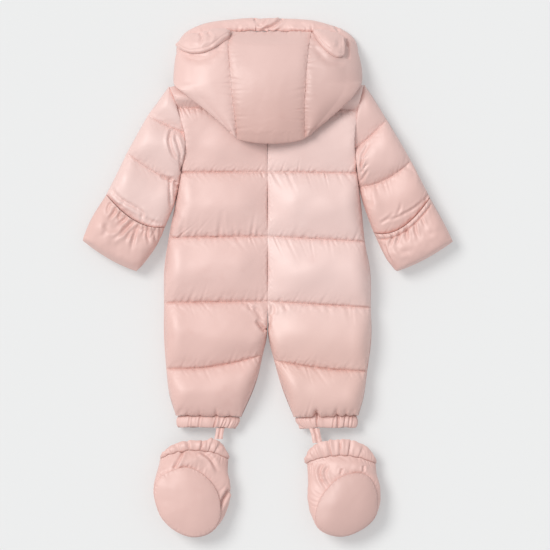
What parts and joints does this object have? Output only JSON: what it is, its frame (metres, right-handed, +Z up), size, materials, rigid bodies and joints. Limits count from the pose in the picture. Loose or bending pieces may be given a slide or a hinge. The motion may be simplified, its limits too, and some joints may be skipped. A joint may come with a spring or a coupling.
{
  "type": "baby snowsuit",
  "caption": "Padded baby snowsuit lying face down: quilted back and sleeves, eared hood, mitten flaps, gathered leg cuffs and strapped-on booties.",
  "frame": {"origin": "on the surface it lies on, under the middle of the bounding box", "axes": "+Y along the suit from the booties to the hood, +X to the right seen from above on the back, +Z up"},
  "size_m": [0.5994, 0.841, 0.0816],
  "materials": {
    "padded_cloth": "satin",
    "zip_tape": "matte"
  },
  "bodies": {
    "root": {"back_left": "padded_cloth", "back_right": "padded_cloth", "front_left": "padded_cloth", "front_right": "padded_cloth", "front_zip": "zip_tape", "sleeve_back_left": "padded_cloth", "sleeve_back_right": "padded_cloth", "sleeve_front_left": "padded_cloth", "sleeve_front_right": "padded_cloth", "mitten_flap_left": "padded_cloth", "mitten_flap_right": "padded_cloth", "leg_cuff_left": "padded_cloth", "leg_cuff_right": "padded_cloth", "hood_centre": "padded_cloth", "hood_side_left": "padded_cloth", "hood_side_right": "padded_cloth", "hood_rim": "padded_cloth", "ear_left": "padded_cloth", "ear_right": "padded_cloth", "bootie_upper_left": "padded_cloth", "bootie_upper_right": "padded_cloth", "bootie_sole_left": "padded_cloth", "bootie_sole_right": "padded_cloth", "bootie_cuff_left": "padded_cloth", "bootie_cuff_right": "padded_cloth", "strap_left": "padded_cloth", "strap_right": "padded_cloth"}
  },
  "joints": []
}
